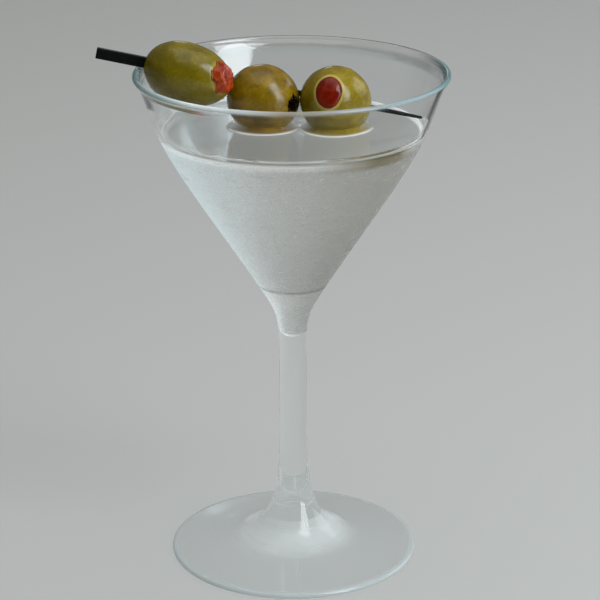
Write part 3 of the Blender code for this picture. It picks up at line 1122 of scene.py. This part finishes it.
def drink_material():
    """The clear surface of the drink, with painted reflections of the olives and painted highlight
    lines where it climbs.
    """
    tree = new_finish("clear drink")
    # painted reflection of the olives on the surface near them
    border = tree.span(tree.axes(tree.place())[0], *PAINTED_REFLECTION_BORDER)
    tones = tree.ramp(border, (0.0, PAINTED_REFLECTION_BROWN), (1.0, PAINTED_REFLECTION_GREEN))
    breaks = tree.ramp(tree.noise(330, 2.0, 0.5), *PAINTED_REFLECTION_BREAKS)
    mirrored = tree.haze(tree.mix_colours(1.0, tones, breaks, "MULTIPLY"), onward=0.15)
    painted_reflection_share = tree.product(tree.mark("mirrored"), PAINTED_REFLECTION_SHARE)
    clear = tree.clear(DRINK_COLOUR, DRINK_IOR, roughness=0.10)
    surface = tree.mix(painted_reflection_share, clear, mirrored)
    # painted highlight lines where the surface climbs the wall and the olives
    painted_line_share = tree.product(tree.mark("climb"), CLIMB_HIGHLIGHT_SHARE)
    with_painted_highlights = tree.mix(painted_line_share, surface, tree.haze(CLIMB_HIGHLIGHT_COLOUR, onward=0.3))
    return tree.show_clear(with_painted_highlights, WATER_SHADE)


def painted_olive_image(tree, x, y, z, grain):
    """1 where the painted image of the right olive shows in the drink's side, under the level, else 0.
    """
    ragged = tree.math("ADD", z, tree.product(grain, PAINTED_IMAGE_RAGGEDNESS))
    return tree.product(
        tree.span(x, *PAINTED_IMAGE_LEFT),
        tree.span(x, *PAINTED_IMAGE_RIGHT),
        tree.span(y, *PAINTED_IMAGE_FRONT),
        tree.span(ragged, *PAINTED_IMAGE_BOTTOM),
    )


def drink_side_material():
    """The side of the cold drink, clouded by fine bubbles, with painted shade in a ring at its neck, a
    painted highlight under its level and a painted image of the right olive.
    """
    tree = new_finish("clouded drink")
    x, y, z = tree.axes(tree.place())
    height = tree.span(z, WELL_BOTTOM, DRINK_LEVEL)
    painted_image_share = tree.product(painted_olive_image(tree, x, y, z, tree.noise(900, 2.0)), PAINTED_IMAGE_SHARE)
    # painted image of the right olive, as seen through the drink, mixed into the cloud's tones
    tones = tree.mix_colours(painted_image_share, tree.ramp(height, *CLOUD_AND_PAINTED_LIGHT_TONES), PAINTED_IMAGE_COLOUR)
    haze = tree.haze(tones, onward=0.93)
    clear = tree.clear(DRINK_COLOUR, DRINK_IOR, roughness=0.02)
    return tree.show_clear(tree.mix(tree.ramp(height, *CLOUD_AND_PAINTED_LIGHT_COVER), clear, haze), CLOUD_SHADE)


def mist_material():
    """Condensed mist: a veil of fine drops, uneven where some have run, with painted light bright on
    the left and shade on the right.
    """
    tree = new_finish("condensed mist")
    x, y, z = tree.axes(tree.place())
    # painted light: the mist bright on the left and shaded on the right
    tones = tree.ramp(tree.span(x, -MIST_PAINTED_LIGHT_HALF_WIDTH, MIST_PAINTED_LIGHT_HALF_WIDTH), *MIST_PAINTED_LIGHT_TONES)
    smeared = tree.ramp(tree.noise(95, 2.0, place=tree.scaled(SMEAR_STRETCH)), *SMEAR_COVER)
    grain = tree.noise(1700, 2.0)
    grained = tree.ramp(grain, *GRAIN_COVER)
    thinner = tree.span(painted_olive_image(tree, x, y, z, grain), 0.0, 1.0, 1.0, 1.0 - MIST_THINNER)
    share = tree.product(smeared, grained, thinner)
    veil = tree.mix(share, tree.shader("Transparent", {}), tree.haze(tones, onward=0.92))
    return tree.show_clear(veil, CLOUD_SHADE)


def drop_material():
    """Clear water of the drops, faintly pale."""
    tree = new_finish("water drops")
    clear = tree.clear(DROP_COLOUR, WATER_IOR)
    pale = tree.haze(DROP_PALE_COLOUR, onward=0.5)
    return tree.show_clear(tree.mix(DROP_PALENESS, clear, pale), WATER_SHADE)


def olive_material(name, skin, patch, flesh):
    """Moist olive skin with soft patches, and cut flesh, paler on olive_1 and olive_3, near black on
    olive_2 as painted shade in its pit.
    """
    tree = new_finish(name)
    tones = tree.ramp(tree.noise(150, 3.0, 0.6), (0.34, skin), (0.66, patch))
    specks = tree.noise(1300, 2.0)
    speck_tones = tree.ramp(specks, (0.35, (0.84, 0.84, 0.80)), (0.65, (1.10, 1.10, 1.08)))
    speckled = tree.mix_colours(1.0, tones, speck_tones, "MULTIPLY")
    inputs = {
        "Base Color": tree.mix_colours(tree.mark("flesh"), speckled, flesh),
        "Roughness": 0.22,
        "Specular IOR Level": 0.46,
        "Subsurface Weight": 0.10,
        "Subsurface Radius": (1.0, 0.75, 0.2),
        "Subsurface Scale": 0.0014,
        "Normal": tree.bumps(0.12, 0.00005, specks),
    }
    return tree.show(tree.shader("Principled", inputs))


def pepper_material(name, deep, bright, roughness):
    """Wet red pepper, in deep and bright patches."""
    tree = new_finish(name)
    inputs = {
        "Base Color": tree.ramp(tree.noise(520, 3.0, 0.3), (0.35, deep), (0.68, bright)),
        "Roughness": roughness,
        "Specular IOR Level": 0.34,
        "Subsurface Weight": 0.12,
        "Subsurface Radius": (1.0, 0.25, 0.12),
        "Subsurface Scale": 0.0010,
        "Normal": tree.bumps(0.35, 0.0001, tree.noise(1400, 2.0)),
    }
    return tree.show(tree.shader("Principled", inputs))


def pick_material():
    """Plain black lacquer, faintly grained."""
    tree = new_finish("black lacquer")
    grain = tree.noise(900, 4.0)
    tones = tree.ramp(grain, (0.3, (0.001, 0.002, 0.002)), (0.7, (0.003, 0.005, 0.004)))
    inputs = {"Base Color": tones, "Roughness": 0.38, "Specular IOR Level": 0.10}
    return tree.show(tree.shader("Principled", inputs))


def floor_material():
    """Plain pale matt floor."""
    tree = new_finish("pale floor")
    inputs = {"Base Color": FLOOR_COLOUR, "Roughness": 0.8, "Specular IOR Level": 0.2}
    return tree.show(tree.shader("Principled", inputs))


def make_floor():
    """A large plain floor just under the foot."""
    height = CAD_BOUNDS[0].z - FLOOR_GAP
    signs = ((-1, -1), (1, -1), (1, 1), (-1, 1))
    corners = [(FLOOR_REACH * across, FLOOR_REACH * along, height) for across, along in signs]
    mesh = bpy.data.meshes.new("floor")
    mesh.from_pydata(corners, [], [(0, 1, 2, 3)])
    mesh.materials.append(floor_material())
    in_scene("floor", mesh)


def make_world():
    """Soft studio light from all round, brighter overhead, behind and to the right."""
    world = bpy.data.worlds.new("studio")
    bpy.context.scene.world = world
    tree = Tree(world, "ShaderNodeOutputWorld")
    x, y, z = tree.axes(tree.place("Generated"))
    mirrored = tree.nodes.new("ShaderNodeLightPath").outputs["Is Glossy Ray"]
    share = tree.product(
        tree.span(y, -0.9, 0.2, ROOM_BEHIND_CAMERA, 1.0),
        tree.span(x, -1.0, 0.3, ROOM_TO_THE_LEFT, 1.0),
        tree.span(mirrored, 0.0, 1.0, 1.0, ROOM_IN_MIRRORS),
    )
    colour = tree.mix_colours(1.0, tree.ramp(z, *ROOM_TONES), share, "MULTIPLY")
    tree.show(tree.add("ShaderNodeBackground", {"Color": colour, "Strength": 1.0}).outputs[0])


def direction_to(azimuth, elevation):
    """A unit vector: azimuth 0 is the camera's side, 90 is +X; elevation above the horizon."""
    turn = math.radians(azimuth)
    rise = math.radians(elevation)
    level = math.cos(rise)
    return Vector((math.sin(turn) * level, -math.cos(turn) * level, math.sin(rise)))


def make_lamps():
    """Soft rectangular lamps that face the glass."""
    for name, azimuth, elevation, distance, width, height, radiance, colour in LAMPS:
        lamp = bpy.data.lights.new(name, "AREA")
        lamp.shape = "RECTANGLE"
        lamp.size = width
        lamp.size_y = height
        lamp.energy = radiance * math.pi * width * height
        lamp.color = colour
        placed = in_scene(name, lamp)
        outward = direction_to(azimuth, elevation)
        placed.location = LIGHT_TARGET + outward * distance
        placed.rotation_euler = outward.to_track_quat("Z", "Y").to_euler()


def make_camera():
    """The camera, turned down towards the glass and rolled a little."""
    sensor = bpy.data.cameras.new("camera")
    sensor.lens = CAMERA_LENS
    sensor.sensor_width = SENSOR
    sensor.clip_start = 0.01
    sensor.clip_end = 50
    ahead = math.cos(CAMERA_PITCH)
    forward = Vector(
        (math.sin(CAMERA_YAW) * ahead, math.cos(CAMERA_YAW) * ahead, -math.sin(CAMERA_PITCH))
    )
    level = Vector((math.cos(CAMERA_YAW), -math.sin(CAMERA_YAW), 0))
    down = forward.cross(level)
    right = level * math.cos(CAMERA_ROLL) + down * math.sin(CAMERA_ROLL)
    down = down * math.cos(CAMERA_ROLL) - level * math.sin(CAMERA_ROLL)
    turned = Matrix((right, -down, -forward)).transposed().to_4x4()
    camera = in_scene("camera", sensor)
    camera.matrix_world = Matrix.Translation(CAMERA_PLACE) @ turned
    bpy.context.scene.camera = camera


def set_light_paths():
    """Enough bounces for the walls of the glass, and plain colours."""
    scene = bpy.context.scene
    scene.cycles.max_bounces = 24
    scene.cycles.transmission_bounces = 20
    scene.cycles.glossy_bounces = 8
    scene.cycles.transparent_max_bounces = 32
    scene.cycles.caustics_reflective = False
    scene.cycles.caustics_refractive = False
    scene.view_settings.view_transform = "Standard"


def build():
    """Make every piece, the floor, the lamps and the camera."""
    make_camera()
    make_world()
    make_lamps()
    make_floor()
    set_light_paths()
    make_glass()
    make_drink()
    make_mist()
    make_drops()
    for name, look in OLIVE_LOOKS.items():
        make_olive(name, look)
    for name, look in PEPPER_LOOKS.items():
        make_stuffing(name, look)
    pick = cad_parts["pick"]
    pick.data.materials.clear()
    pick.data.materials.append(pick_material())


build()
